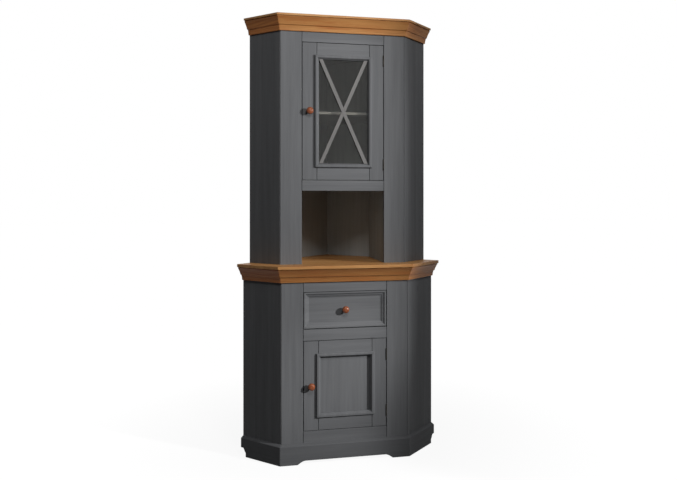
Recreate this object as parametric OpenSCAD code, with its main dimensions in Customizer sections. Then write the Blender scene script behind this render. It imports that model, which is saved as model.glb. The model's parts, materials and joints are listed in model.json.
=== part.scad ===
// Corner buffet cabinet in two units. The base has a drawer over a panelled door and a wooden
// worktop; the hutch on it has an open niche, a glazed door with crossed bars and a crown.
// Seen from above each unit has five sides: a front, two slanting sides and two walls that
// meet square at the rear corner. Millimetres, +Z up, the front faces -Y, x = 0 is the middle.

/* [Plan] */
// Width of the front face of both units
front_w = 574; // [500:1:640]
// Depth of the base unit's slanting sides
base_side = 227; // [200:1:260]
// Setback of the hutch: how much shorter its slanting sides are than the base's
hutch_step = 42; // [28:1:67]
// Width of the opening that the drawer and the doors fill
opening_w = 379; // [340:1:410]

/* [Heights] */
// Height of the plinth boards where they meet the body
plinth_h = 92; // [75:1:110]
// Bottom rail that shows above the plinth
bottom_rail_show = 49; // [30:1:70]
// Opening for the lower door
lower_opening_h = 401.5; // [340:0.5:460]
// Rail between the lower door and the drawer
drawer_rail_h = 49.5; // [40:0.5:70]
// Opening for the drawer
drawer_opening_h = 167; // [150:1:190]
// Top rail that shows between the drawer and the worktop moulding
base_top_show = 43.5; // [25:0.5:60]
// Height of the wooden mouldings under the worktop and the crown board
moulding_h = 61; // [55:1:75]
// Thickness of the worktop
worktop_t = 14; // [12:1:24]
// Open niche between the worktop and the glazed part
niche_h = 332.5; // [260:0.5:380]
// Rail between the niche and the glazed door
hutch_rail_h = 47; // [40:1:70]
// Opening for the glazed door
glazed_opening_h = 627; // [540:1:700]
// Top rail that shows between the glazed door and the crown
hutch_top_show = 45; // [25:1:60]
// Thickness of the board that closes the crown
crown_t = 10; // [8:1:18]

/* [Boards] */
// Thickness of the front frames and of the doors
face_t = 22; // [20:1:26]
// Thickness of the side panels
side_t = 18; // [15:1:22]
// Thickness of the back panels
back_t = 8; // [6:1:12]
// Thickness of the linings beside the openings
lining_t = 16; // [12:1:20]
// Thickness of the bottom, decks and ceiling
deck_t = 18; // [15:1:22]
// Thickness of the base unit's shelf
base_shelf_t = 16; // [14:1:20]
// Thickness of the glazed part's shelf
glazed_shelf_t = 12; // [10:1:18]
// Height of the base shelf's underside above the bottom board
base_shelf_up = 190; // [140:1:240]
// Height of the glazed shelf's underside above its deck
glazed_shelf_up = 305; // [240:1:380]
// Distance of the shelves behind the doors
shelf_back = 12; // [8:1:60]
// Clearance around a loose shelf
shelf_gap = 0.3; // [0.2:0.1:1]
// Width and height of the shelf battens
batten = 14; // [10:1:20]
// Distance from the shelf battens to the walls
batten_short = 20; // [5:1:80]
// Length of the tenons on every rail
tenon_l = 20; // [14:1:26]
// Step from a rail's edge to its tenon
tenon_step = 11; // [10:1:13]
// Width of the grooves that mark the frame joints
vee_w = 3; // [2:0.2:3.4]
// Depth of those grooves
vee_d = 4; // [2:0.5:5]
// Hairline between pieces of one group
hair = 0.1; // [0.05:0.05:0.2]

/* [Edges] */
// Overhang of the worktop past the body
worktop_over = 41; // [38:1:50]
// Overhang of the crown board past the body
crown_over = 40; // [38:1:50]
// Reach of the mouldings at their top
moulding_out = 36; // [32:1:37]
// Height of the mouldings' lower face
fascia_h = 23.5; // [18:0.5:28]
// Reach of the mouldings' lower face
fascia_out = 13; // [11:1:16]
// Thickness of the mouldings at their foot
moulding_foot = 8; // [3:1:9]
// Step out from the mouldings' lower face to their upper face
moulding_step = 5; // [2:0.5:6]
// Hollow of the mouldings' upper face
moulding_sag = 1.5; // [0.5:0.5:3]
// Height and depth of the groove between the mouldings and the boards above
moulding_quirk = 3; // [2:0.5:4]
// Thickness of the plinth boards
plinth_t = 16; // [12:1:20]
// Height of the slope along the plinth's top edge
plinth_slope = 9.5; // [4:0.5:14]
// Length of the front feet from the corners
foot_l = 72; // [60:1:90]
// Length of the curve from each foot to the arch
foot_curve = 36; // [20:1:50]
// Height of the arch between the feet
arch_h = 17; // [10:1:18]
// Height of the body's lower edge above the floor
body_lift = 24; // [18:1:30]
// Cut at the rear for a room's skirting board: height
skirting_h = 40; // [30:1:60]
// Skirting cut: depth at the floor
skirting_t = 29; // [20:1:35]
// Skirting cut: depth at its top
skirting_cap = 13; // [8:1:18]
// Skirting cut: height of its straight part
skirting_straight = 20; // [14:1:26]
// Side of the rear foot
rear_foot_w = 60; // [45:1:80]

/* [Doors] */
// Gap around the doors, and above and beside the drawer's front
door_gap = 2.8; // [2:0.1:3]
// Width of the door stiles and rails
door_frame_w = 65; // [50:1:75]
// Distance of the panel and the glass behind the frame's face
panel_set = 8; // [6:0.5:10]
// Thickness of the lower door's panel
panel_t = 9; // [6:1:10]
// Depth of the panel's groove
groove_d = 7; // [5:1:9]
// Thickness of the glass
glass_t = 4; // [3:0.5:5]
// Width of the rebate that holds the glass
rebate_w = 8; // [6:1:10]
// Clearance around the glass
glass_gap = 0.5; // [0.3:0.1:1]
// Width of the beads behind the glass
bead_w = 12; // [9:1:16]
// Thickness of the beads
bead_t = 8; // [5:1:9]
// Width of the door mouldings
trim_w = 19; // [16:1:22]
// Height of the door mouldings above the frame
trim_out = 10; // [6:1:12]
// Overlap of the door mouldings on the frame
trim_lap = 10; // [8:1:12]
// Width of the door mouldings' outer rounding, and half that of their inner slope
trim_round = 4; // [3:0.5:6]
// Width of the crossed bars
bar_w = 16; // [12:1:20]
// Thickness of the crossed bars
bar_t = 11; // [8:1:14]
// Distance of the bars' ends from the glass opening's corners
bar_in = 9; // [0:1:15]

/* [Drawer] */
// Gap below the drawer's front
drawer_gap = 4.4; // [2:0.2:5]
// Thickness of the drawer's front board
drawer_front_t = 10; // [9.5:0.5:12]
// Flat border of the moulding around the drawer front
drawer_border = 6.5; // [5:0.5:11]
// Step down at the head of each hollow
drawer_lip = 0.5; // [0.5:0.1:1.5]
// Width of each of its two hollows
drawer_hollow = 8; // [4:0.5:9]
// Width of the ledge between them
drawer_ledge = 2; // [1:0.5:5]
// Height of its inner edge
drawer_edge = 1; // [0.5:0.5:2]
// Room between the drawer's stops and the walls
drawer_room = 15; // [10:1:80]
// Thickness of the drawer's sides and back
drawer_side_t = 12; // [10:1:14]
// Height of the opening above the drawer's sides
drawer_headroom = 24; // [22:1:50]
// Clearance beside the drawer
drawer_slack = 2.5; // [2.5:0.5:4]
// Thickness of the drawer's bottom
drawer_bottom_t = 6; // [4:1:8]
// Height of the drawer's bottom above the lower edge of its sides
drawer_bottom_up = 10; // [6:1:14]
// Height of the runners
runner_h = 4; // [3:1:5]
// Width of the runners, kickers and stops
runner_w = 20; // [16:1:24]
// Height of the kickers
kicker_h = 18; // [12:1:20]
// Height of the stops behind the drawer
stop_h = 40; // [25:1:60]
// Running gap of the drawer on its runners and at its stops
run_gap = 0.3; // [0.2:0.1:0.5]

/* [Hinges, knobs and catches] */
// Length of a hinge
hinge_l = 50; // [40:1:60]
// Distance of a hinge's middle from the door's end
hinge_in = 71; // [50:1:90]
// Radius of the knuckles
knuckle_r = 2.2; // [2.1:0.1:2.8]
// Radius of the hinge pins
pin_r = 1; // [0.9:0.1:1.1]
// Height of the pins' heads, and how far they stand out
pin_head = 1; // [0.8:0.1:1.5]
// Running clearance of the pins
pin_gap = 0.05; // [0.03:0.01:0.08]
// Gap between knuckles along the pin
knuckle_gap = 0.3; // [0.2:0.1:0.5]
// Thickness of the hinge leaves
leaf_t = 1.4; // [1.3:0.1:1.6]
// Width of the hinge leaves in the wood
leaf_w = 19; // [14:1:19]
// Gap between closed leaves
leaf_gap = 0.3; // [0.2:0.1:0.4]
// Gap between the knuckles and the doors' faces
knuckle_clear = 0.3; // [0.3:0.1:1]
// Radius of the knobs
knob_r = 16; // [12:1:18]
// Reach of the knobs
knob_out = 30; // [24:1:36]
// Radius of the knobs' necks
knob_neck_r = 8; // [6:1:10]
// Hollow of the knobs' necks
knob_waist = 1.5; // [0.5:0.5:3]
// Height of the collar at the knobs' foot
knob_collar = 3; // [2:0.5:4]
// Radius of the knobs' spigots
spigot_r = 5; // [4:0.5:6]
// Length of the knobs' spigots in the wood
spigot_l = 9; // [7:0.5:9]
// Clearance of the spigots in their holes
spigot_gap = 0.05; // [0.03:0.01:0.1]
// Distance of the door knobs from the doors' edges
knob_in = 31.5; // [24:0.5:40]
// Height of the lower door's knob above its middle
lower_knob_up = 0; // [-60:1:120]
// Height of the glazed door's knob above its middle
glazed_knob_up = 0; // [-150:1:150]
// Width of the door catches
catch_w = 40; // [30:1:60]
// Depth of the door catches
catch_d = 15; // [10:1:20]
// Height of the door catches
catch_h = 12; // [9:1:16]

/* [Hidden] */

paint = "#696a6d";
pine = "#b07a4a";
turned = "#a8653f";
inside = "#7b7973";
pane = "#a9b4b2";
steel = "#6f6a62";

root2 = sqrt(2);
mitre = tan(22.5);
eps = 1;
curve_steps = 10;
round_fn = 48;

// Plan: the walls are |x| + y = apex_y, and the origin is the middle of the worktop's box
half = front_w / 2;
hutch_side = base_side - hutch_step;
open_x = opening_w / 2;
depth = half + base_side * root2;
front_y = (worktop_over - depth) / 2;
apex_y = front_y + depth;
inner_apex = apex_y - back_t * root2;
hutch_y = front_y + hutch_step * root2;
// Where a side panel's inner face meets the back of the front frame
corner_x = half + face_t - side_t * root2;

// Heights, from the floor up
lower_z = plinth_h + bottom_rail_show;
lower_top = lower_z + lower_opening_h;
drawer_z = lower_top + drawer_rail_h;
drawer_top = drawer_z + drawer_opening_h;
worktop_moulding_z = drawer_top + base_top_show;
worktop_z = worktop_moulding_z + moulding_h;
hutch_z = worktop_z + worktop_t;
hutch_rail_z = hutch_z + niche_h;
glazed_z = hutch_rail_z + hutch_rail_h;
glazed_top = glazed_z + glazed_opening_h;
crown_z = glazed_top + hutch_top_show;
crown_board_z = crown_z + moulding_h;

base_rails = [[body_lift, lower_z], [lower_top, drawer_z], [drawer_top, worktop_z]];
hutch_rails = [[hutch_rail_z, glazed_z], [glazed_top, crown_board_z]];
base_shelf_z = lower_z + base_shelf_up;
glazed_shelf_z = glazed_z + glazed_shelf_up;

// Doors: outer edge, inner edge of the stiles, and the two leaves' lower and upper edges
door_x = open_x - door_gap;
inner_x = door_x - door_frame_w;
lower_door = [lower_z + door_gap, lower_top - door_gap];
glazed_door = [glazed_z + door_gap, glazed_top - door_gap];
trim_x = inner_x + trim_lap;
sight_x = trim_x - trim_w;

hinge_x = open_x - door_gap / 2;
hinge_out = knuckle_r + knuckle_clear;
third = (hinge_l - 2 * knuckle_gap) / 3;
knob_x = -door_x + knob_in;
glazed_knob_z = middle(glazed_door) + glazed_knob_up;
lower_knob_z = middle(lower_door) + lower_knob_up;

// Drawer
drawer_front_z = [drawer_z + drawer_gap, drawer_top - door_gap];
drawer_face = face_t - drawer_front_t;
drawer_trim_w = drawer_border + 2 * drawer_hollow + drawer_ledge;
box_z = drawer_z + runner_h + run_gap;
box_x = open_x - drawer_slack;
box_y = front_y + face_t;
drawer_end = inner_apex - open_x - drawer_room - runner_w - run_gap;
drawer_l = drawer_end - box_y;
drawer_side_h = drawer_opening_h - runner_h - run_gap - drawer_headroom;
bottom_z = box_z + drawer_bottom_up;
drawer_groove = drawer_side_t / 2;
drawer_knob_z = middle(drawer_front_z);

// Five-sided outline with its front at y, its sides on |x| - y = k and its walls on |x| + y = m
function five(y, k, m) =
    [[-k - y, y], [k + y, y], [(m + k) / 2, (m - k) / 2], [0, m], [-(m + k) / 2, (m - k) / 2]];

// Quarter wave from p to q: steep at p and level at q
function rise(p, q) =
    [for (i = [0:curve_steps]) let (t = i / curve_steps)
        [p[0] + (q[0] - p[0]) * t, p[1] + (q[1] - p[1]) * sin(90 * t)]];

// S curve from p to q, level at both ends
function ogee(p, q) =
    [for (i = [0:curve_steps]) let (t = i / curve_steps)
        [p[0] + (q[0] - p[0]) * t, p[1] + (q[1] - p[1]) * (1 - cos(180 * t)) / 2]];

// Line from p to q that bows to its left by sag
function bow(p, q, sag) =
    let (l = norm(q - p), n = [p[1] - q[1], q[0] - p[0]] / l)
    [for (i = [0:curve_steps]) let (t = i / curve_steps) p + (q - p) * t + n * sag * 4 * t * (1 - t)];

module both_sides() {
    children();
    mirror([1, 0, 0]) children();
}

module upright(z) translate([0, 0, z[0]]) linear_extrude(z[1] - z[0]) children();

// Tenons that reach outwards from x = +-x_end, for a rail between the heights z
module tenons(x_end, y, z)
    both_sides() translate([x_end, y + face_t / 3, z[0] + tenon_step])
        cube([tenon_l, face_t / 3, z[1] - z[0] - 2 * tenon_step]);

// Grooves along the face at x = +-x_at, turned by an angle where they follow a corner
module vees(x_at, y, z, turn = 0)
    let (w = vee_w / 2 * (1 + eps / vee_d))
    both_sides() translate([x_at, y, z[0] - eps]) rotate([0, 0, turn])
        linear_extrude(z[1] - z[0] + 2 * eps) polygon([[-w, -eps], [w, -eps], [0, vee_d]]);

module rail(x_end, y, z)
    difference() {
        union() {
            translate([-x_end, y, z[0]]) cube([2 * x_end, face_t, z[1] - z[0]]);
            tenons(x_end, y, z);
        }
        vees(x_end, y, z);
    }

// Right stile of a unit's front frame, mitred to the side panel
module frame_stile(y, z, rails)
    difference() {
        upright(z) polygon([[open_x, y], [half, y], [corner_x, y + face_t], [open_x, y + face_t]]);
        for (r = rails) tenons(open_x, y, r);
        vees(open_x, y, z);
        vees(half, y, z, 22.5);
    }

// Right side panel of a unit
module side_panel(y, z)
    let (k = half - y, ki = k - side_t * root2)
    difference() {
        upright(z) polygon([[half, y], [(apex_y + k) / 2, (apex_y - k) / 2],
            [(apex_y + ki) / 2, (apex_y - ki) / 2], [corner_x, y + face_t]]);
        vees(half, y, z, 22.5);
    }

// Both back panels, from the side panels to the rear corner
module back_panels(y, z)
    let (k = half - y - side_t * root2)
    both_sides() upright(z) polygon([[(apex_y + k) / 2, (apex_y - k) / 2], [hair / 2, apex_y - hair / 2],
        [hair / 2, inner_apex - hair / 2], [(inner_apex + k) / 2, (inner_apex - k) / 2]]);

// Both linings, straight back from the front frame to the walls
module linings(y, z)
    let (y0 = y + face_t, x1 = open_x + lining_t)
    both_sides() upright(z)
        polygon([[open_x, y0], [x1, y0], [x1, inner_apex - x1], [open_x, inner_apex - open_x]]);

// Board between the linings, with its front at y and a gap to linings and walls
module inner_board(y, gap, z)
    let (x = open_x - gap, m = inner_apex - gap * root2)
    upright(z) polygon([[-x, y], [x, y], [x, m - x], [0, m], [-x, m - x]]);

// Length of a planted board or moulding: it stands out towards -y, with mitred ends where
// the flags are 1. Its child is the profile, drawn in [-out, up]
module run(length, start, end, height, reach)
    intersection() {
        translate([-reach, 0, 0]) rotate([90, 0, 90]) linear_extrude(length + 2 * reach) children();
        translate([0, 0, -eps]) linear_extrude(height + 2 * eps)
            polygon([[start * eps * mitre, eps], [length - end * eps * mitre, eps],
                [length + end * reach * mitre, -reach], [-start * reach * mitre, -reach]]);
    }

module on_front(y, z) translate([-half, y, z]) children();

module on_right(y, z) translate([half, y, z]) rotate([0, 0, 45]) children();

// Profile of the wooden mouldings under the worktop and the crown board
module moulding_profile()
    let (lip = [-moulding_out, moulding_h - moulding_quirk])
    polygon(concat([[0, 0]],
        bow([-moulding_foot, 0], [-fascia_out, fascia_h], -moulding_sag / 2),
        bow([-fascia_out - moulding_step, fascia_h + moulding_step / 3], lip, -moulding_sag),
        [lip + [moulding_quirk, 0], lip + [moulding_quirk, moulding_quirk], [0, moulding_h]]));

module moulding_front(y, z) on_front(y, z)
    run(front_w, 1, 1, moulding_h, worktop_over) moulding_profile();

module moulding_right(y, z, length) on_right(y, z)
    run(length, 1, 0, moulding_h, worktop_over) moulding_profile();

module plinth_profile()
    polygon([[0, 0], [-plinth_t, 0], [-plinth_t, plinth_h - plinth_slope], [0, plinth_h]]);

// What a skirting board along the wall takes away, in the frame of the right side panel
module skirting_cut()
    translate([0, side_t + eps, 0]) rotate([90, 0, 0]) linear_extrude(side_t + plinth_t + 2 * eps)
        polygon(concat([[base_side + eps, -eps], [base_side - skirting_t, -eps]],
            ogee([base_side - skirting_t, skirting_straight], [base_side - skirting_cap, skirting_h]),
            [[base_side + eps, skirting_h]]));

module plinth_side_right()
    on_right(front_y, 0) difference() {
        run(base_side, 1, 0, plinth_h, plinth_t + eps) plinth_profile();
        skirting_cut();
    }

module base_side_panel()
    difference() {
        side_panel(front_y, [body_lift, worktop_z]);
        on_right(front_y, 0) skirting_cut();
    }

// A hinge stands at hinge_x, in front of the face at y, near both ends of a door
module at_hinges(y, door)
    for (z = [door[0] + hinge_in, door[1] - hinge_in])
        translate([hinge_x, y - hinge_out, z - hinge_l / 2]) children();

// Leaf plates beside the pin's plane: frame side and door side
module frame_plate() translate([leaf_gap / 2, hinge_out, 0]) cube([leaf_t, leaf_w, hinge_l]);

module door_plate() translate([-leaf_gap / 2 - leaf_t, hinge_out, 0]) cube([leaf_t, leaf_w, hinge_l]);

// Knuckle between the heights z, with the neck that joins it to its leaf at x
module knuckle(x, z)
    translate([0, 0, z[0]]) difference() {
        union() {
            cylinder(r = knuckle_r, h = z[1] - z[0], $fn = round_fn);
            translate([x, 0, 0]) cube([leaf_t, hinge_out + eps, z[1] - z[0]]);
        }
        translate([0, 0, -eps])
            cylinder(r = pin_r + pin_gap, h = z[1] - z[0] + 2 * eps, $fn = round_fn);
    }

module frame_leaf() {
    frame_plate();
    knuckle(leaf_gap / 2, [0, third]);
    knuckle(leaf_gap / 2, [hinge_l - third, hinge_l]);
}

module door_leaf() {
    door_plate();
    knuckle(-leaf_gap / 2 - leaf_t, [third + knuckle_gap, hinge_l - third - knuckle_gap]);
}

module hinge_pin() {
    translate([0, 0, -pin_head]) cylinder(r = pin_r, h = hinge_l + 2 * pin_head, $fn = round_fn);
    for (z = [-pin_head, hinge_l]) translate([0, 0, z])
        cylinder(r = pin_r + pin_head, h = pin_head, $fn = round_fn);
}

// Turned knob on a face that looks towards -y, with its spigot behind
module knob() {
    neck_at = knob_out / 3;
    under = -60;
    color(turned) rotate([90, 0, 0]) {
        translate([0, 0, -spigot_l]) cylinder(r = spigot_r, h = spigot_l + eps, $fn = round_fn);
        rotate_extrude($fn = round_fn)
            polygon(concat([[0, 0], [knob_neck_r + knob_waist, 0], [knob_neck_r + knob_waist, knob_collar]],
                [for (i = [0:curve_steps]) let (t = i / curve_steps)
                    [knob_neck_r - knob_waist * sin(180 * t), knob_collar + (neck_at - knob_collar) * t]],
                [for (i = [0:curve_steps]) let (t = under + (90 - under) * i / curve_steps)
                    [knob_r * cos(t), (knob_out + neck_at) / 2 + (knob_out - neck_at) / 2 * sin(t)]]));
    }
}

module knob_hole(x, y, z)
    translate([x, y - eps, z]) rotate([-90, 0, 0])
        cylinder(r = spigot_r + spigot_gap, h = spigot_l + eps, $fn = round_fn);

function middle(door) = (door[0] + door[1]) / 2;

// Space of a door's panel, which its stiles and rails are grooved for
module panel_space(y, door, edge, t)
    translate([-inner_x - edge, y, door[0] + door_frame_w - edge])
        cube([2 * (inner_x + edge), t, door[1] - door[0] - 2 * (door_frame_w - edge)]);

function door_rails(door) = [[door[0], door[0] + door_frame_w], [door[1] - door_frame_w, door[1]]];

module door_stiles(y, door, knob_z)
    for (s = [-1, 1]) difference() {
        translate([s > 0 ? inner_x : -door_x, y, door[0]])
            cube([door_frame_w, face_t, door[1] - door[0]]);
        for (r = door_rails(door)) tenons(inner_x, y, r);
        vees(inner_x, y, door);
        if (s > 0) at_hinges(y, door) door_plate();
        if (s < 0) knob_hole(knob_x, y, knob_z);
    }

// Four mitred lengths around a rectangle of half width x between the heights z. The child is
// the profile, drawn in [inwards from the outer edge, out from the face]
module mitred_frame(x, y, z, width, reach) {
    module piece(length)
        intersection() {
            rotate([90, 0, 90]) linear_extrude(length) rotate(90) children();
            translate([0, eps + face_t, 0]) rotate([90, 0, 0]) linear_extrude(face_t + reach + 2 * eps)
                polygon([[hair - eps, -eps], [length - hair + eps, -eps],
                    [length - hair - width - eps, width + eps], [hair + width + eps, width + eps]]);
        }
    for (flip = [0, 1]) {
        translate([0, y, flip * (z[0] + z[1])]) mirror([0, 0, flip]) translate([-x, 0, z[0]])
            piece(2 * x) children();
        translate([0, y, z[0]]) mirror([flip, 0, 0]) translate([-x, 0, 0]) mirror([1, 0, -1])
            piece(z[1] - z[0]) children();
    }
}

// Bolection profile that laps on the door's frame and runs down to the panel or the glass
module trim_profile()
    polygon(concat([[0, 0]],
        rise([0, trim_out / 2], [trim_round, trim_out]),
        ogee([trim_w - 2 * trim_round, trim_out], [trim_w, 0]),
        [[trim_w, -panel_set], [trim_lap, -panel_set], [trim_lap, 0]]));

function trim_z(door) = [door[0] + door_frame_w - trim_lap, door[1] - door_frame_w + trim_lap];

module door_trim(y, door)
    mitred_frame(trim_x, y, trim_z(door), trim_w, trim_out) trim_profile();

// Flat border, a hollow, a ledge at half height and a second hollow
module drawer_trim_profile()
    let (ledge = drawer_face / 2, inner = drawer_trim_w - drawer_hollow)
    polygon(concat([[0, 0], [0, drawer_face], [drawer_border, drawer_face]],
        rise([drawer_border, drawer_face - drawer_lip], [drawer_border + drawer_hollow, ledge]),
        rise([inner, ledge - drawer_lip], [drawer_trim_w, drawer_edge]),
        [[drawer_trim_w, 0]]));

// One of the glazed door's bars, from near one corner of the glass opening to the opposite one
module bar(s, width)
    let (z = trim_z(glazed_door), h = z[1] - z[0] - 2 * trim_w, w = 2 * sight_x,
        slant = s * atan(h / (w - 2 * bar_in)))
    intersection() {
        translate([0, hutch_y + panel_set - bar_t, middle(glazed_door)]) rotate([0, slant, 0])
            translate([-norm([w, h]), 0, -width / 2]) cube([2 * norm([w, h]), bar_t, width]);
        translate([-sight_x, hutch_y - eps - bar_t, z[0] + trim_w])
            cube([w, panel_set + bar_t + 2 * eps, h]);
    }

// Base unit
module base_side_right() color(paint) base_side_panel();
module base_side_left() mirror([1, 0, 0]) base_side_right();
module base_backs() color(inside) back_panels(front_y, [skirting_h + eps, worktop_z]);
module base_stile() frame_stile(front_y, [body_lift, worktop_z], base_rails);
module base_stile_left() color(paint) mirror([1, 0, 0]) base_stile();
module base_stile_right()
    color(paint) difference() {
        base_stile();
        at_hinges(front_y, lower_door) frame_plate();
    }
module base_top_rail() color(paint) rail(open_x, front_y, base_rails[2]);
module base_middle_rail() color(paint) rail(open_x, front_y, base_rails[1]);
module base_bottom_rail() color(paint) rail(open_x, front_y, base_rails[0]);
module base_linings() color(inside) linings(front_y, [lower_z, worktop_z]);

module base_bottom()
    color(inside) upright([lower_z - deck_t, lower_z])
        polygon(five(front_y + face_t, half - front_y - side_t * root2, inner_apex));

module drawer_deck() color(inside) inner_board(front_y + face_t, 0, [drawer_z - deck_t, drawer_z]);

// Two runners under the drawer's sides, two kickers over them and two stops behind them
module drawer_runners() {
    color(pine) both_sides() {
        translate([open_x - runner_w, box_y, drawer_z]) cube([runner_w, drawer_l, runner_h]);
        translate([open_x - runner_w, box_y + eps, box_z + drawer_side_h + run_gap])
            cube([runner_w, drawer_l, kicker_h]);
        translate([open_x - runner_w, drawer_end + run_gap, drawer_z])
            cube([runner_w, runner_w, stop_h]);
    }
}

module base_shelf()
    color(inside) inner_board(front_y + face_t + shelf_back, shelf_gap,
        [base_shelf_z, base_shelf_z + base_shelf_t]);

module plinth_front()
    color(paint) difference() {
        on_front(front_y, 0) run(front_w, 1, 1, plinth_h, plinth_t + eps) plinth_profile();
        both_sides() translate([0, front_y + eps, 0]) rotate([90, 0, 0])
            linear_extrude(plinth_t + 2 * eps)
            polygon(concat([[-eps, -eps], [half - foot_l, -eps]],
                rise([half - foot_l, 0], [half - foot_l - foot_curve, arch_h]), [[-eps, arch_h]]));
    }
module plinth_right() color(paint) plinth_side_right();
module plinth_left() mirror([1, 0, 0]) plinth_right();

// Foot at the rear corner, clear of the skirting boards
module rear_foot()
    color(pine) translate([0, apex_y - (skirting_t + eps) * root2, 0]) rotate([0, 0, 225])
        cube([rear_foot_w, rear_foot_w, lower_z - deck_t]);

module worktop()
    color(pine) upright([worktop_z, hutch_z])
        polygon(five(front_y - worktop_over, half - front_y + worktop_over * root2, apex_y));
module worktop_moulding_front() color(pine) moulding_front(front_y, worktop_moulding_z);
module worktop_moulding_right() color(pine) moulding_right(front_y, worktop_moulding_z, base_side);
module worktop_moulding_left() mirror([1, 0, 0]) worktop_moulding_right();

// Hutch
module hutch_side_right() color(paint) side_panel(hutch_y, [hutch_z, crown_board_z]);
module hutch_side_left() mirror([1, 0, 0]) hutch_side_right();
module hutch_backs() color(inside) back_panels(hutch_y, [hutch_z, crown_board_z]);
module hutch_stile() frame_stile(hutch_y, [hutch_z, crown_board_z], hutch_rails);
module hutch_stile_left() color(paint) mirror([1, 0, 0]) hutch_stile();
module hutch_stile_right()
    color(paint) difference() {
        hutch_stile();
        at_hinges(hutch_y, glazed_door) frame_plate();
    }
module hutch_top_rail() color(paint) rail(open_x, hutch_y, hutch_rails[1]);
module hutch_middle_rail() color(paint) rail(open_x, hutch_y, hutch_rails[0]);
module hutch_linings() color(inside) linings(hutch_y, [hutch_z, crown_board_z]);
module hutch_ceiling() color(inside) inner_board(hutch_y + face_t, 0, [glazed_top, glazed_top + deck_t]);
module hutch_deck() color(inside) inner_board(hutch_y + face_t, 0, [glazed_z - deck_t, glazed_z]);
module hutch_shelf()
    color(inside) inner_board(hutch_y + face_t + shelf_back, shelf_gap,
        [glazed_shelf_z, glazed_shelf_z + glazed_shelf_t]);
module crown_front() color(pine) moulding_front(hutch_y, crown_z);
module crown_right() color(pine) moulding_right(hutch_y, crown_z, hutch_side);
module crown_left() mirror([1, 0, 0]) crown_right();
module crown_board()
    color(pine) upright([crown_board_z, crown_board_z + crown_t])
        polygon(five(hutch_y - crown_over, half - hutch_y + crown_over * root2, apex_y));

module shelf_battens()
    color(inside) for (at = [[front_y, base_shelf_z], [hutch_y, glazed_shelf_z]])
        both_sides() translate([open_x - batten, at[0] + face_t + shelf_back, at[1] - batten])
            cube([batten, inner_apex - open_x - batten_short - at[0] - face_t - shelf_back, batten]);

// Glazed door
module glazed_door_stiles()
    color(paint) difference() {
        door_stiles(hutch_y, glazed_door, glazed_knob_z);
        panel_space(hutch_y + panel_set, glazed_door, rebate_w, face_t);
    }
module glazed_door_rails()
    color(paint) difference() {
        for (r = door_rails(glazed_door)) rail(inner_x, hutch_y, r);
        panel_space(hutch_y + panel_set, glazed_door, rebate_w, face_t);
    }
module glazed_door_glass()
    color(pane, 0.4) panel_space(hutch_y + panel_set, glazed_door, rebate_w - glass_gap, glass_t);
module glazed_door_moulding() color(paint) door_trim(hutch_y, glazed_door);

// One bar runs through and the other is cut in two at the crossing
module glazed_door_bars() color(paint) {
    bar(1, bar_w);
    difference() {
        bar(-1, bar_w);
        bar(1, bar_w + 2 * hair);
    }
}
module glazed_door_beads()
    color(paint) mitred_frame(inner_x + rebate_w, hutch_y + panel_set + glass_t,
        [glazed_door[0] + door_frame_w - rebate_w, glazed_door[1] - door_frame_w + rebate_w], bead_w, 0)
        translate([0, -bead_t]) square([bead_w, bead_t]);
module glazed_door_knob() translate([knob_x, hutch_y, glazed_knob_z]) knob();

// Lower door
module lower_door_stiles()
    color(paint) difference() {
        door_stiles(front_y, lower_door, lower_knob_z);
        panel_space(front_y + panel_set, lower_door, groove_d, panel_t);
    }
module lower_door_rails()
    color(paint) difference() {
        for (r = door_rails(lower_door)) rail(inner_x, front_y, r);
        panel_space(front_y + panel_set, lower_door, groove_d, panel_t);
    }
module lower_door_panel() color(paint) panel_space(front_y + panel_set, lower_door, groove_d, panel_t);
module lower_door_moulding() color(paint) door_trim(front_y, lower_door);
module lower_door_knob() translate([knob_x, front_y, lower_knob_z]) knob();

// Drawer
module drawer_bottom_space()
    translate([-box_x + drawer_side_t - drawer_groove, box_y - drawer_groove, bottom_z])
        cube([2 * (box_x - drawer_side_t + drawer_groove), drawer_l + drawer_groove, drawer_bottom_t]);

module drawer_front()
    color(paint) difference() {
        translate([-door_x, front_y + drawer_face, drawer_front_z[0]])
            cube([2 * door_x, drawer_front_t, drawer_front_z[1] - drawer_front_z[0]]);
        drawer_bottom_space();
        knob_hole(0, front_y + drawer_face, drawer_knob_z);
    }
module drawer_moulding()
    color(paint) mitred_frame(door_x, front_y + drawer_face, drawer_front_z, drawer_trim_w, drawer_face)
        drawer_trim_profile();
module drawer_sides()
    color(pine) difference() {
        both_sides() translate([box_x - drawer_side_t, box_y, box_z])
            cube([drawer_side_t, drawer_l, drawer_side_h]);
        drawer_bottom_space();
    }
module drawer_back()
    color(pine) translate([-box_x + drawer_side_t, drawer_end - drawer_side_t, bottom_z + drawer_bottom_t])
        cube([2 * (box_x - drawer_side_t), drawer_side_t,
            drawer_side_h - drawer_bottom_up - drawer_bottom_t]);
module drawer_bottom() color(pine) drawer_bottom_space();
module drawer_knob() translate([0, front_y + drawer_face, drawer_knob_z]) knob();

// Hinges and catches
module frame_hinge_leaves() color(steel) {
    at_hinges(hutch_y, glazed_door) frame_leaf();
    at_hinges(front_y, lower_door) frame_leaf();
}
module glazed_door_hinge_leaves() color(steel) at_hinges(hutch_y, glazed_door) door_leaf();
module lower_door_hinge_leaves() color(steel) at_hinges(front_y, lower_door) door_leaf();
module hinge_pins() color(steel) {
    at_hinges(hutch_y, glazed_door) hinge_pin();
    at_hinges(front_y, lower_door) hinge_pin();
}

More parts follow.
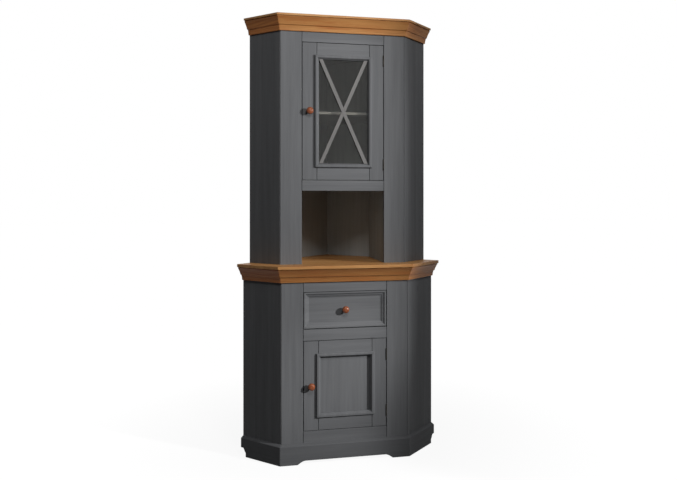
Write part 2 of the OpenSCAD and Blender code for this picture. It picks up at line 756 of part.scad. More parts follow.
// Each catch stands run_gap behind its door: one under the ceiling, one on the bottom board
module door_catches() color(steel) {
    translate([-door_x + door_frame_w / 2, hutch_y + face_t + run_gap, glazed_top - catch_h])
        cube([catch_w, catch_d, catch_h]);
    translate([-door_x + door_frame_w / 2, front_y + face_t + run_gap, lower_z])
        cube([catch_w, catch_d, catch_h]);
}

base_side_left();
base_side_right();
base_backs();
base_bottom();
base_stile_left();
base_stile_right();
base_top_rail();
base_middle_rail();
base_bottom_rail();
base_linings();
drawer_deck();
drawer_runners();
base_shelf();
plinth_front();
plinth_left();
plinth_right();
rear_foot();
worktop();
worktop_moulding_front();
worktop_moulding_left();
worktop_moulding_right();
hutch_side_left();
hutch_side_right();
hutch_backs();
hutch_stile_left();
hutch_stile_right();
hutch_top_rail();
hutch_middle_rail();
hutch_linings();
hutch_ceiling();
hutch_deck();
hutch_shelf();
crown_front();
crown_left();
crown_right();
crown_board();
shelf_battens();
glazed_door_stiles();
glazed_door_rails();
glazed_door_glass();
glazed_door_moulding();
glazed_door_bars();
glazed_door_beads();
glazed_door_knob();
lower_door_stiles();
lower_door_rails();
lower_door_panel();
lower_door_moulding();
lower_door_knob();
drawer_front();
drawer_moulding();
drawer_sides();
drawer_back();
drawer_bottom();
drawer_knob();
frame_hinge_leaves();
glazed_door_hinge_leaves();
lower_door_hinge_leaves();
hinge_pins();
door_catches();
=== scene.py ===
"""Looks of a corner buffet cabinet: grey paint brushed on pine, oiled pine mouldings and worktop,
turned knobs and a glazed door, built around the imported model. Metres throughout."""

import json
from math import cos, radians, sin

import bmesh
import bpy
from mathutils import Matrix, Vector


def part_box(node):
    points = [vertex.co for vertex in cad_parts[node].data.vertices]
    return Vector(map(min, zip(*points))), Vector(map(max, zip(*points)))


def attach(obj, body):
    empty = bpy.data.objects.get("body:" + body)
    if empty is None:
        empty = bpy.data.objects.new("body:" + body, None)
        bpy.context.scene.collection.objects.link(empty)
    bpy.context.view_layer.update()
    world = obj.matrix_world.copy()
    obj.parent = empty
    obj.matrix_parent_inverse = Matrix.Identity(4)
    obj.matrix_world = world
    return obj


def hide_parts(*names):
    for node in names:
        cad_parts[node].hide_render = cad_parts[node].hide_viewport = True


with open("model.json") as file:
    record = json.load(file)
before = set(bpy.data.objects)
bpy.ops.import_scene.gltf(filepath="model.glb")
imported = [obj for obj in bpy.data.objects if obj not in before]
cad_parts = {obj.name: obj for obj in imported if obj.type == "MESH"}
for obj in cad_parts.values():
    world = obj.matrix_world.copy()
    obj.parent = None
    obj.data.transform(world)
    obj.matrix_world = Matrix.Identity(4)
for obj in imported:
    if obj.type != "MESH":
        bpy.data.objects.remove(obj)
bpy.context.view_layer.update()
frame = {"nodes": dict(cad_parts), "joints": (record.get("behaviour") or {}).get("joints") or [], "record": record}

MM = 0.001
HALF_ROOT = 0.5 ** 0.5

# Directions of boards: along the grain, and across the board's width
X = Vector((1, 0, 0))
Y = Vector((0, 1, 0))
Z = Vector((0, 0, 1))
RIGHT = Vector((HALF_ROOT, HALF_ROOT, 0))
LEFT = Vector((-HALF_ROOT, HALF_ROOT, 0))


def colour(code):
    """Linear colour of an sRGB hex code."""
    values = [int(code[i:i + 2], 16) / 255 for i in (1, 3, 5)]
    return tuple(v / 12.92 if v <= 0.04045 else ((v + 0.055) / 1.055) ** 2.4 for v in values) + (1,)


def add(tree, kind, inputs=None, **settings):
    """Adds a node with its settings. An input is a value or another node's output."""
    node = tree.nodes.new(kind)
    for key, value in settings.items():
        setattr(node, key, value)
    for key, value in (inputs or {}).items():
        if isinstance(value, bpy.types.NodeSocket):
            tree.links.new(value, node.inputs[key])
        else:
            node.inputs[key].default_value = value
    return node


def calc(tree, operation, *values):
    """Result of a math node."""
    return add(tree, "ShaderNodeMath", dict(enumerate(values)), operation=operation).outputs[0]


def summed(tree, total, *parts):
    """A total plus the parts, each a value and its weight."""
    for value, weight in parts:
        total = calc(tree, "MULTIPLY_ADD", value, weight, total)
    return total


def remap(tree, value, start, end, first=0, last=1, curve="LINEAR"):
    """Takes a value from the range start to end into the range first to last."""
    node = add(tree, "ShaderNodeMapRange", {"Value": value, "From Min": start, "From Max": end,
                                            "To Min": first, "To Max": last},
               interpolation_type=curve)
    return node.outputs[0]


def noise(tree, vector, detail, roughness=0.5, scale=1):
    node = add(tree, "ShaderNodeTexNoise", {"Vector": vector, "Scale": scale, "Detail": detail,
                                            "Roughness": roughness})
    return node.outputs[0]


def tinted(tree, factor, first, second):
    """Colour between two others. Each is a hex code or a node's output."""
    ends = [colour(end) if isinstance(end, str) else end for end in (first, second)]
    node = add(tree, "ShaderNodeMix", {"Factor": factor, "A": ends[0], "B": ends[1]},
               data_type="RGBA")
    return node.outputs["Result"]


def bump(tree, height, strength, depth_mm):
    node = add(tree, "ShaderNodeBump", {"Height": height, "Strength": strength,
                                        "Distance": depth_mm * MM})
    return node.outputs[0]


def stretched(tree, vector, along, across):
    """Scales a vector so that a pattern of one unit measures along x across millimetres."""
    size = (1 / (along * MM), 1 / (across * MM), 1 / (across * MM))
    return add(tree, "ShaderNodeVectorMath", {0: vector, 1: size}, operation="MULTIPLY").outputs[0]


def object_place(tree):
    return add(tree, "ShaderNodeTexCoord").outputs["Object"]


def board_grain(tree, along, across):
    """Object coordinates turned so that x runs along a board's grain and y across its width."""
    turn = Matrix((along, across, along.cross(across))).to_euler()
    node = add(tree, "ShaderNodeMapping", {"Vector": object_place(tree), "Rotation": turn})
    return node.outputs["Vector"]


def stave_share(tree, across, stave_mm):
    """A random value for each of the glued staves that lie across a board."""
    number = calc(tree, "FLOOR", calc(tree, "DIVIDE", across, stave_mm * MM))
    return add(tree, "ShaderNodeTexWhiteNoise", {"W": number}, noise_dimensions="1D").outputs[0]


def knot_distance(tree, grain, along, across, randomness):
    """Distance to the nearest knot, of those strewn about once every along x across mm."""
    spots = stretched(tree, grain, along, across)
    cells = add(tree, "ShaderNodeTexVoronoi", {"Vector": spots, "Scale": 1,
                                               "Randomness": randomness})
    return cells.outputs["Distance"]


def new_material(name):
    material = bpy.data.materials.new(name)
    material.use_nodes = True
    material.node_tree.nodes.clear()
    return material


def finished(material, surface):
    add(material.node_tree, "ShaderNodeOutputMaterial", {"Surface": surface.outputs[0]})
    return material


# Satin acrylic paint brushed thinly over planed pine. The brush leaves fine streaks along each
# board, the pine's rings and a few knots show through faintly, and glued staves differ a little.
def brushed_paint(name, along, across, light, dark, stave_mm):
    material = new_material(name)
    tree = material.node_tree
    grain = board_grain(tree, along, across)
    split = add(tree, "ShaderNodeSeparateXYZ", {"Vector": grain})

    # Brush streaks, drawn coarser than the real 1 mm so that they show, and the rings' bands
    streaks = noise(tree, stretched(tree, grain, 170, 2.6), 4, 0.62)
    bands = noise(tree, stretched(tree, grain, 420, 21), 3, 0.55)
    brushed = summed(tree, 0, (streaks, 0.5), (bands, 0.55))

    # Staves, and knots every 300 mm or so, each 12 mm across under the paint
    share = stave_share(tree, split.outputs["Y"], stave_mm)
    knots = remap(tree, knot_distance(tree, grain, 420, 210, 0.9), 0.02, 0.045, 1, 0)
    tone = remap(tree, summed(tree, brushed, (share, 0.16), (knots, -0.35)), 0.34, 0.88)

    return finished(material, add(tree, "ShaderNodeBsdfPrincipled", {
        "Base Color": tinted(tree, tone, dark, light),
        "Roughness": remap(tree, streaks, 0.3, 0.7, 0.5, 0.64),
        "Specular IOR Level": 0.07,
        "Normal": bump(tree, brushed, 0.35, 0.25)}))


# Pine stained honey and oiled: darker late wood in rings 5 mm apart, fibres along the board,
# small reddish knots that the rings bend around, and a soft gloss.
def oiled_pine(name, along, across, light, dark, red, knot_tint, stave_mm, gloss):
    material = new_material(name)
    tree = material.node_tree
    grain = board_grain(tree, along, across)
    split = add(tree, "ShaderNodeSeparateXYZ", {"Vector": grain})
    share = stave_share(tree, split.outputs["Y"], stave_mm)

    # Knots 9 mm across, about one for each 300 mm of board
    distance = knot_distance(tree, grain, 300, 120, 0.95)
    knots = remap(tree, distance, 0.022, 0.05, 1, 0)
    around = remap(tree, distance, 0, 0.16, 1, 0)

    # Rings: bands across the board, bent by a slow wave and by the knots, shifted in each stave
    wave = noise(tree, stretched(tree, grain, 620, 60), 2)
    shift = summed(tree, wave, (around, 0.6), (share, 3))
    bent = calc(tree, "MULTIPLY_ADD", shift, 55 * MM, split.outputs["Y"])
    turns = calc(tree, "DIVIDE", calc(tree, "ADD", split.outputs["Z"], bent), 5.5 * MM)
    year = calc(tree, "FRACT", turns)
    late = remap(tree, year, 0.35, 1, curve="SMOOTHSTEP")
    late_end = remap(tree, year, 0, 0.14, 1, 0)
    ring = calc(tree, "MAXIMUM", late, late_end)

    # Fibres, wide clouds, and resin-rich stretches that took the stain redder
    fibres = noise(tree, stretched(tree, grain, 60, 0.9), 3, 0.6)
    clouds = noise(tree, stretched(tree, grain, 260, 26), 3)
    fibrous = summed(tree, 0, (ring, 0.3), (fibres, 0.62))
    depth = remap(tree, summed(tree, fibrous, (clouds, 0.55), (share, 0.25)), 0.45, 1.1)
    resin = noise(tree, stretched(tree, grain, 190, 22), 3, 0.6)
    redness = remap(tree, resin, 0.46, 0.68, 0, 0.75)
    stained = tinted(tree, redness, tinted(tree, depth, light, dark), red)

    return finished(material, add(tree, "ShaderNodeBsdfPrincipled", {
        "Base Color": tinted(tree, knots, stained, knot_tint),
        "Roughness": remap(tree, fibrous, 0.2, 0.8, gloss, gloss + 0.14),
        "Specular IOR Level": 0.25,
        "Normal": bump(tree, fibrous, 0.3, 0.2)}))


# Turned hardwood, stained orange brown and varnished: fine end-to-end fibres, faint turning
# rings around the axis and a clear gloss.
def varnished_knob_wood():
    material = new_material("varnished turned wood")
    tree = material.node_tree
    grain = board_grain(tree, Y, X)
    fibres = noise(tree, stretched(tree, grain, 14, 0.8), 3)
    clouds = noise(tree, stretched(tree, grain, 24, 7), 2)
    depth = remap(tree, summed(tree, clouds, (fibres, 0.6)), 0.5, 1.1)
    split = add(tree, "ShaderNodeSeparateXYZ", {"Vector": grain})
    turning = calc(tree, "DIVIDE", split.outputs["X"], 0.7 * MM)
    rings = calc(tree, "PINGPONG", turning, 1)
    return finished(material, add(tree, "ShaderNodeBsdfPrincipled", {
        "Base Color": tinted(tree, depth, "#9a532c", "#652f14"), "Roughness": 0.38,
        "Specular IOR Level": 0.25, "Coat Weight": 0.1, "Coat Roughness": 0.18,
        "Normal": bump(tree, rings, 0.15, 0.05)}))


# Drawn float glass, 4 mm, wiped clean: nearly clear, with the faintest smears in its gloss.
# Shadow and diffuse rays pass straight through, so that light reaches the shelves behind.
def float_glass():
    material = new_material("float glass")
    tree = material.node_tree
    smears = noise(tree, object_place(tree), 2, scale=9)
    pane = add(tree, "ShaderNodeBsdfPrincipled", {
        "Base Color": colour("#f4f4f1"), "IOR": 1.34, "Transmission Weight": 1,
        "Roughness": remap(tree, smears, 0.35, 0.7, 0, 0.03)})
    clear = add(tree, "ShaderNodeBsdfTransparent", {"Color": colour("#f4f4f1")})
    rays = add(tree, "ShaderNodeLightPath").outputs
    unseen = calc(tree, "MAXIMUM", rays["Is Shadow Ray"], rays["Is Diffuse Ray"])
    return finished(material, add(tree, "ShaderNodeMixShader", {
        0: unseen, 1: pane.outputs[0], 2: clear.outputs[0]}))


# Mild steel hinges, browned with age: dull, with darker specks and fine drawing lines.
def browned_steel():
    material = new_material("browned steel")
    tree = material.node_tree
    place = object_place(tree)
    age = remap(tree, noise(tree, place, 4, scale=420), 0.35, 0.7)
    drawn = noise(tree, stretched(tree, place, 1.2, 9), 2)
    return finished(material, add(tree, "ShaderNodeBsdfPrincipled", {
        "Base Color": tinted(tree, age, "#34302a", "#1b1815"), "Metallic": 1,
        "Roughness": remap(tree, drawn, 0, 1, 0.3, 0.55)}))


# Zinc plated steel of the screws, pins and strike plates: bluish grey with a cloudy film.
def plated_steel():
    material = new_material("zinc plated steel")
    tree = material.node_tree
    film = noise(tree, object_place(tree), 3, scale=300)
    return finished(material, add(tree, "ShaderNodeBsdfPrincipled", {
        "Base Color": tinted(tree, film, "#a3a7aa", "#83878a"), "Metallic": 1,
        "Roughness": remap(tree, film, 0, 1, 0.25, 0.5)}))


# Moulded ABS housing of the magnet catches: matt, with a fine spark-eroded texture.
def moulded_abs():
    material = new_material("moulded ABS")
    tree = material.node_tree
    erosion = noise(tree, object_place(tree), 2, scale=2500)
    return finished(material, add(tree, "ShaderNodeBsdfPrincipled", {
        "Base Color": tinted(tree, erosion, "#9a7a58", "#7f6347"), "Roughness": 0.6,
        "Normal": bump(tree, erosion, 0.3, 0.05)}))


def grey(name, along, across, stave_mm=95, light="#78797b", dark="#636466"):
    return brushed_paint("grey paint " + name, along, across, light, dark, stave_mm)


# Inside paint is much lighter than the outside grey: painted light, lifting the shade inside the niche and the
# cupboards
def inner(name, along, across, light="#b1b4b3", dark="#949795"):
    return brushed_paint("inside paint painted light " + name, along, across, light, dark, 80)


def honey(name, along, across, stave_mm=400, light="#c28b52", dark="#875225"):
    return oiled_pine("oiled pine " + name, along, across, light, dark, "#a05f2f", "#4c2a14",
                      stave_mm, 0.42)


def raw(name, along, across):
    return oiled_pine("raw pine " + name, along, across, "#dcb887", "#b98c58", "#cfa06c", "#7b5230",
                      110, 0.6)


grey_upright = grey("upright", Z, X)
grey_level = grey("level", X, Z)
# The glazing bars' grey is lighter and warmer than the frame's: painted light on the thin bars
grey_slim_painted_light = grey("slim bars", Z, X, 95, "#868482", "#737170")
grey_right = grey("right side", Z, RIGHT, 78)
grey_left = grey("left side", Z, LEFT, 78)
# The plinth's grey is darker than the rest of the paint: painted shade, for the light that falls off towards the
# floor
PLINTH_PAINTED_SHADE_TONES = ("#6c6d6f", "#595a5c")
grey_foot = grey("front plinth", X, Z, 95, *PLINTH_PAINTED_SHADE_TONES)
grey_right_foot = grey("right plinth", RIGHT, Z, 95, *PLINTH_PAINTED_SHADE_TONES)
grey_left_foot = grey("left plinth", LEFT, Z, 95, *PLINTH_PAINTED_SHADE_TONES)
inner_upright = inner("upright", Z, Y)
inner_deep = inner("front to back", Y, Z)
grey_shelf = grey("shelf", X, Y, 95, "#8f8d89", "#7b7976")
inner_level = inner("level", X, Y, "#918e89", "#7d7a76")
honey_top = honey("worktop", X, Y, 88, "#d2a066", "#9a6534")
honey_front = honey("front", X, Z)
# The side faces' oiled pine is lighter than the front's: painted light, standing in for light the lamps don't give
# those faces; the left one's redder tone is the painted colour of its shade
honey_right_painted_light = honey("right", RIGHT, Z, 400, "#d8985a", "#a3632f")
honey_left_painted_light = honey("left", LEFT, Z, 400, "#d28a4b", "#9a5527")
raw_upright = raw("upright", Z, X)
raw_deep = raw("front to back", Y, Z)
raw_level = raw("level", X, Y)
knob_wood = varnished_knob_wood()
glass = float_glass()
steel = browned_steel()
zinc = plated_steel()
abs_housing = moulded_abs()

# Which finish each carried-over node wears, and how far its corners are eased in millimetres
FINISHES = {
    "base_side_left": (grey_left, 0.4), "base_side_right": (grey_right, 0.4),
    "base_backs": (inner_upright, 0.5), "base_bottom": (inner_level, 0.8),
    "base_stile_left": (grey_upright, 0.4), "base_stile_right": (grey_upright, 0.4),
    "base_top_rail": (grey_level, 0.4), "base_middle_rail": (grey_level, 0.4),
    "base_bottom_rail": (grey_level, 0.4), "base_linings": (inner_upright, 0.5),
    "drawer_deck": (inner_level, 0.8), "drawer_runners": (raw_deep, 0.8),
    "base_shelf": (inner_level, 1.2), "plinth_front": (grey_foot, 1.5),
    "plinth_left": (grey_left_foot, 1.5), "plinth_right": (grey_right_foot, 1.5),
    "rear_foot": (raw_upright, 1.2), "worktop": (honey_top, 1.8),
    "worktop_moulding_front": (honey_front, 0.8), "worktop_moulding_left": (honey_left_painted_light, 0.8),
    "worktop_moulding_right": (honey_right_painted_light, 0.8), "hutch_side_left": (grey_left, 0.4),
    "hutch_side_right": (grey_right, 0.4), "hutch_backs": (inner_upright, 0.5),
    "hutch_stile_left": (grey_upright, 0.4), "hutch_stile_right": (grey_upright, 0.4),
    "hutch_top_rail": (grey_level, 0.4), "hutch_middle_rail": (grey_level, 0.4),
    "hutch_linings": (inner_upright, 0.5), "hutch_ceiling": (inner_level, 0.8),
    "hutch_deck": (inner_level, 0.8), "hutch_shelf": (grey_shelf, 1.0),
    "crown_front": (honey_front, 0.8), "crown_left": (honey_left_painted_light, 0.8),
    "crown_right": (honey_right_painted_light, 0.8), "crown_board": (honey_top, 1.5),
    "shelf_battens": (inner_deep, 0.8),
    "glazed_door_stiles": (grey_upright, 0.4), "glazed_door_rails": (grey_level, 0.4),
    "glazed_door_moulding": (grey_upright, 0.5), "glazed_door_bars": (grey_slim_painted_light, 0.8),
    "glazed_door_beads": (grey_upright, 0.5),
    "lower_door_stiles": (grey_upright, 0.4), "lower_door_rails": (grey_level, 0.4),
    "lower_door_panel": (grey_upright, 0.5), "lower_door_moulding": (grey_upright, 0.5),
    "drawer_front": (grey_level, 0.5), "drawer_moulding": (grey_level, 0.5),
    "drawer_sides": (raw_deep, 1.0), "drawer_back": (raw_level, 1.0),
    "drawer_bottom": (raw_level, 0.3),
}
BODY_OF = {node: body for body, members in frame["record"]["behaviour"]["bodies"].items()
           for node in members}
SLOT_OF = {row["node"]: row["material_slot"] for row in frame["record"]["subparts"]}

# Points closer than this join, faces that turn by less join, and corners that turn by more
# are eased
JOIN_WITHIN = 0.002 * MM
FLAT_WITHIN = radians(0.4)
CORNER_OVER = radians(28)


def new_piece(name, mesh):
    piece = bpy.data.objects.new(name, mesh)
    bpy.context.scene.collection.objects.link(piece)
    return piece


def place(piece, body, slot):
    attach(piece, body)


def settled(piece):
    """Turns a piece's modifiers into plain mesh."""
    graph = bpy.context.evaluated_depsgraph_get()
    mesh = bpy.data.meshes.new_from_object(piece.evaluated_get(graph), depsgraph=graph)
    piece.modifiers.clear()
    piece.data = mesh
    return piece


def clean_copy(node, name):
    """A joined copy of a node's loose triangles, with its flat faces whole again."""
    shape = bmesh.new()
    shape.from_mesh(frame["nodes"][node].data)
    bmesh.ops.remove_doubles(shape, verts=shape.verts, dist=JOIN_WITHIN)
    bmesh.ops.dissolve_limit(shape, angle_limit=FLAT_WITHIN, verts=shape.verts, edges=shape.edges)
    for face in shape.faces:
        face.smooth = True
    mesh = bpy.data.meshes.new(name)
    shape.to_mesh(mesh)
    shape.free()
    return new_piece(name, mesh)


def ease(node, material, width):
    """Replaces a node by a copy whose corners are eased, as sandpaper and paint leave them."""
    piece = clean_copy(node, node + "_eased")
    rounding = piece.modifiers.new("eased corners", "BEVEL")
    rounding.width = width * MM
    rounding.segments = 2
    rounding.limit_method = "ANGLE"
    rounding.angle_limit = CORNER_OVER
    rounding.miter_outer = "MITER_ARC"
    flat = piece.modifiers.new("flat faces stay flat", "WEIGHTED_NORMAL")
    flat.weight = 80
    settled(piece)
    piece.data.materials.clear()
    piece.data.materials.append(material)
    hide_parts(node)
    place(piece, BODY_OF[node], SLOT_OF[node])


for node, (material, width) in FINISHES.items():
    ease(node, material, width)


def dress(material, *nodes):
    for node in nodes:
        data = frame["nodes"][node].data
        data.materials.clear()
        data.materials.append(material)


dress(glass, "glazed_door_glass")
dress(abs_housing, "door_catches")
dress(steel, "frame_hinge_leaves", "glazed_door_hinge_leaves", "lower_door_hinge_leaves",
      "hinge_pins")
dress(knob_wood, "glazed_door_knob", "lower_door_knob", "drawer_knob")

# The cross in a screw's head: its length and width as shares of the head's radius
CROSS_LENGTH = 1.3
CROSS_WIDTH = 0.28
HEAD_SIDES = 20


def fastener_tree():
    """Heads of screws or pins on an object's points, each turned to its point's facing."""
    tree = bpy.data.node_groups.new("fastener heads", "GeometryNodeTree")
    for name, kind in (("Places", "Geometry"), ("Head radius", "Float"), ("Head height", "Float"),
                       ("Cross recess", "Bool"), ("Recess depth", "Float"),
                       ("Material", "Material")):
        tree.interface.new_socket(name, in_out="INPUT", socket_type="NodeSocket" + kind)
    tree.interface.new_socket("Heads", in_out="OUTPUT", socket_type="NodeSocketGeometry")
    given = add(tree, "NodeGroupInput").outputs

    # Head, half of it under the surface, and a cross cut down into it from its top face
    head = add(tree, "GeometryNodeMeshCylinder", {
        "Vertices": HEAD_SIDES, "Radius": given["Head radius"], "Depth": given["Head height"]})
    cut = add(tree, "GeometryNodeMeshBoolean", {"Mesh 1": head.outputs["Mesh"]},
              operation="DIFFERENCE", solver="EXACT")
    long = calc(tree, "MULTIPLY", given["Head radius"], CROSS_LENGTH)
    narrow = calc(tree, "MULTIPLY", given["Head radius"], CROSS_WIDTH)
    tall = calc(tree, "MULTIPLY", given["Recess depth"], 2)
    top = add(tree, "ShaderNodeCombineXYZ", {"Z": calc(tree, "MULTIPLY", given["Head height"], 0.5)})
    for x, y in ((long, narrow), (narrow, long)):
        size = add(tree, "ShaderNodeCombineXYZ", {"X": x, "Y": y, "Z": tall})
        bar = add(tree, "GeometryNodeMeshCube", {"Size": size.outputs[0]})
        raised = add(tree, "GeometryNodeTransform", {"Geometry": bar.outputs[0],
                                                     "Translation": top.outputs[0]})
        tree.links.new(raised.outputs[0], cut.inputs["Mesh 2"])
    kind = add(tree, "GeometryNodeSwitch", {
        "Switch": given["Cross recess"], "False": head.outputs["Mesh"],
        "True": cut.outputs["Mesh"]}, input_type="GEOMETRY")

    facing = add(tree, "GeometryNodeInputNamedAttribute", {"Name": "facing"},
                 data_type="FLOAT_VECTOR")
    turn = add(tree, "FunctionNodeAlignRotationToVector", {"Vector": facing.outputs[0]}, axis="Z")
    heads = add(tree, "GeometryNodeInstanceOnPoints", {
        "Points": given["Places"], "Instance": kind.outputs[0], "Rotation": turn.outputs[0]})
    real = add(tree, "GeometryNodeRealizeInstances", {"Geometry": heads.outputs[0]})
    dressed = add(tree, "GeometryNodeSetMaterial", {"Geometry": real.outputs[0],
                                                    "Material": given["Material"]})
    add(tree, "NodeGroupOutput", {"Heads": dressed.outputs[0]})
    return tree


fastener_heads = fastener_tree()


def fasten(name, body, places, radius, height, recess):
    """Fastener heads for one body. Each place is a point and the way its head faces.

    Radius, height and recess are in millimetres. The recess is the depth of the cross, and 0
    leaves the heads plain."""
    mesh = bpy.data.meshes.new(name)
    mesh.from_pydata([spot for spot, _ in places], [], [])
    ways = mesh.attributes.new("facing", "FLOAT_VECTOR", "POINT")
    for row, (_, way) in zip(ways.data, places):
        row.vector = way
    piece = new_piece(name, mesh)
    heads = piece.modifiers.new("heads", "NODES")
    heads.node_group = fastener_heads
    values = {"Head radius": radius * MM, "Head height": height * MM, "Cross recess": recess > 0,
              "Recess depth": recess * MM, "Material": zinc}
    for item in fastener_heads.interface.items_tree:
        if item.in_out == "INPUT" and item.name in values:
            heads[item.identifier] = values[item.name]
    place(settled(piece), body, "hinge_steel")


def middle(low, high):
    return (low + high) / 2


# Hinge screws: three in every leaf, staggered, with flush heads
HALF_LEAF = 25 * MM
LEAF_FACE = 0.15 * MM
SCREW_ROWS = (-17 * MM, 0, 17 * MM)
OUTER_SCREW_IN = 6 * MM
MIDDLE_SCREW_IN = 12 * MM
LEAF_SCREW = {"radius": 2.7, "height": 0.2, "recess": 0.25}
PIN_X = {row["child"]: row["pos_m"][0] for row in frame["joints"] if row["type"] == "hinge"}


def leaf_screws(door, side):
    low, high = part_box(door + "_hinge_leaves")
    spots = []
    for z in (low[2] + HALF_LEAF, high[2] - HALF_LEAF):
        for row in SCREW_ROWS:
            y = high[1] - (OUTER_SCREW_IN if row else MIDDLE_SCREW_IN)
            spots.append(((PIN_X[door] + side * LEAF_FACE, y, z + row), (-side, 0, 0)))
    return spots


for door in ("glazed_door", "lower_door"):
    fasten(door + "_hinge_screws", door, leaf_screws(door, -1), **LEAF_SCREW)
fasten("frame_hinge_screws", "cabinet",
       leaf_screws("glazed_door", 1) + leaf_screws("lower_door", 1), **LEAF_SCREW)

# Batten screws: two in each batten, driven sideways into the lining
BATTEN = 14 * MM
SHELF_GAP = 0.3 * MM
BATTEN_SCREWS_BACK = (60 * MM, 200 * MM)


def batten_screws():
    spots = []
    for shelf in ("base_shelf", "hutch_shelf"):
        low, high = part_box(shelf)
        face = high[0] + SHELF_GAP - BATTEN
        for side in (-1, 1):
            for back in BATTEN_SCREWS_BACK:
                spots.append(((side * face, low[1] + back, low[2] - BATTEN / 2), (-side, 0, 0)))
    return spots


fasten("batten_screws", "cabinet", batten_screws(), radius=3.2, height=0.6, recess=0.25)

# Panel pins: rows that hold the back panels to the boards and the linings behind them. Along
# a board they are given in millimetres sideways from the cabinet's middle
BOARD_REACH = {"base_bottom": 420, "drawer_deck": 180, "hutch_deck": 180, "hutch_ceiling": 180}
BOARD_PIN_FIRST = 20
BOARD_PIN_PITCH = 40
LINING_PIN_FIRST = 40 * MM
LINING_PIN_PITCH = 110 * MM
HALF_LINING = 8 * MM


def panel_pins():
    spots = []
    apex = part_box("base_backs")[1][1]
    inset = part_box("base_linings")[1][0] - HALF_LINING

    def pin(s, z):
        for side in (-1, 1):
            spots.append(((side * s, apex - s, z), (side * HALF_ROOT, HALF_ROOT, 0)))

    for board, reach in BOARD_REACH.items():
        low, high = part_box(board)
        for s in range(BOARD_PIN_FIRST, reach, BOARD_PIN_PITCH):
            pin(s * MM, middle(low[2], high[2]))
    for lining in ("base_linings", "hutch_linings"):
        low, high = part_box(lining)
        for i in range(int((high[2] - low[2]) / LINING_PIN_PITCH)):
            pin(inset, low[2] + LINING_PIN_FIRST + i * LINING_PIN_PITCH)
    return spots


fasten("panel_pins", "cabinet", panel_pins(), radius=1.8, height=0.5, recess=0)

# Strike plates on the doors' backs, for the magnet catches: bare plates near the stile's end
PLATE = Vector((34, 0.15, 9)) * MM
PLATE_IN = 7 * MM


def strike_plate(door, up):
    stile_low, stile_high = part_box(door + "_stiles")
    catch_low, catch_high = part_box("door_catches")
    x = middle(catch_low[0], catch_high[0])
    y = stile_high[1] + PLATE.y / 2
    z = stile_high[2] - PLATE_IN if up else stile_low[2] + PLATE_IN
    name = door + "_strike_plate"
    shape = bmesh.new()
    bmesh.ops.create_cube(shape, size=1, matrix=Matrix.Translation((x, y, z))
                          @ Matrix.Diagonal((*PLATE, 1)))
    mesh = bpy.data.meshes.new(name)
    shape.to_mesh(mesh)
    shape.free()
    mesh.materials.append(zinc)
    place(new_piece(name, mesh), door, "hinge_steel")


strike_plate("glazed_door", True)
strike_plate("lower_door", False)

# Camera where the photographer stood, level, with the lens shifted down
EYE = Vector((-0.5084, -3.3522, 1.1725))
YAW = -0.2106
camera = new_piece("camera", bpy.data.cameras.new("camera"))
camera.location = EYE
camera.rotation_euler = (radians(90), 0, YAW)
camera.data.sensor_width = 36
camera.data.lens = 36.80
camera.data.shift_x = -0.0578
camera.data.shift_y = -0.0606
bpy.context.scene.camera = camera


def lamp(name, kind, spot, aim, **settings):
    light = bpy.data.lights.new(name, kind)
    for key, value in settings.items():
        setattr(light, key, value)
    holder = new_piece(name, light)
    holder.location = spot
    holder.rotation_euler = (Vector(aim) - Vector(spot)).to_track_quat("-Z", "Y").to_euler()
    return holder


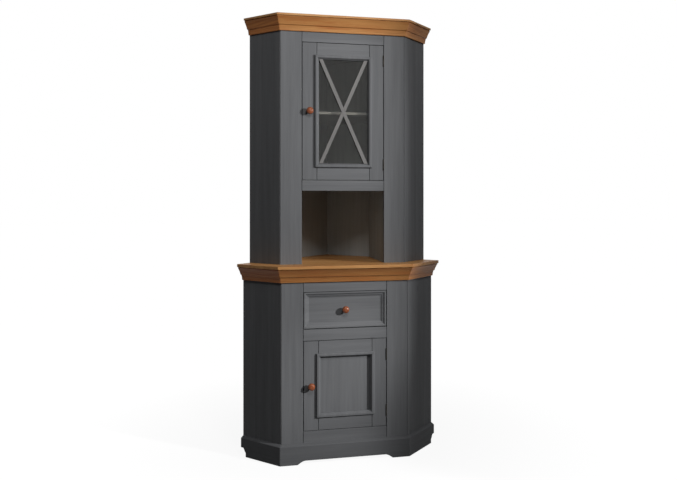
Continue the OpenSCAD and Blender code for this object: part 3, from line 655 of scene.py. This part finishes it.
# Main lamp from the front right, flagged so that its beam fades along the right side panels,
# as a wall there shades them. A narrow soft beam from the same place lifts the lower door, and
# a weak softbox stands above the front
MAIN_AT = Vector((3.29, -3.05, 2.2))
BEAM_EDGE = radians(136.25)
BEAM_HALF = radians(30)
BEAM_RISE = radians(-6.7)
BEAM_STRETCH = 1.8
LOWER_DOOR_AT = (-0.05, -0.31, 0.42)
beam = BEAM_EDGE + BEAM_HALF
main = lamp("main lamp", "SPOT", MAIN_AT, MAIN_AT + Vector((cos(beam), sin(beam), sin(BEAM_RISE))),
            energy=715, spot_size=2 * BEAM_HALF, spot_blend=0.15, shadow_soft_size=0.09)
main.scale = (1, BEAM_STRETCH, 1)
lamp("lower beam", "SPOT", MAIN_AT, LOWER_DOOR_AT, energy=220, spot_size=radians(7.5),
     spot_blend=1, shadow_soft_size=0.09)
lamp("top softbox", "AREA", (0.15, -2.3, 2.7), (0, -0.2, 1.2), energy=21, size=0.6)


def seen_or_mirrored(tree):
    """1 for rays from the camera, from a reflection and through glass, and 0 for the others."""
    rays = add(tree, "ShaderNodeLightPath").outputs
    seen = calc(tree, "MAXIMUM", rays["Is Camera Ray"], rays["Is Glossy Ray"])
    return calc(tree, "MAXIMUM", seen, rays["Is Transmission Ray"])


# Floor: pale and matt. It shows as white away from the cabinet and keeps the shadow near it
NEAR_GLOW = 0.93
NEAR_ENDS = 0.5
WHITE_FROM = 1.4
floor_material = new_material("pale floor")
tree = floor_material.node_tree
distance = add(tree, "ShaderNodeVectorMath", {0: object_place(tree)}, operation="LENGTH")
glow = remap(tree, distance.outputs["Value"], NEAR_ENDS, WHITE_FROM, NEAR_GLOW, 1)
white = calc(tree, "MULTIPLY", glow, seen_or_mirrored(tree))
glowing = add(tree, "ShaderNodeEmission", {"Strength": white})
matt = add(tree, "ShaderNodeBsdfDiffuse", {"Color": (0.1, 0.1, 0.1, 1)})
finished(floor_material, add(tree, "ShaderNodeAddShader", {0: matt.outputs[0],
                                                           1: glowing.outputs[0]}))
bpy.ops.mesh.primitive_plane_add(size=60)
floor = bpy.context.object
floor.name = "floor"
floor.data.materials.append(floor_material)

# World: white where it is seen or mirrored, and a low even light elsewhere
world = bpy.data.worlds.new("studio")
bpy.context.scene.world = world
world.use_nodes = True
tree = world.node_tree
tree.nodes.clear()
strength = remap(tree, seen_or_mirrored(tree), 0, 1, 0.015, 1)
background = add(tree, "ShaderNodeBackground", {"Color": (1, 1, 1, 1), "Strength": strength})
add(tree, "ShaderNodeOutputWorld", {"Surface": background.outputs[0]})

bpy.context.scene.view_settings.view_transform = "Standard"
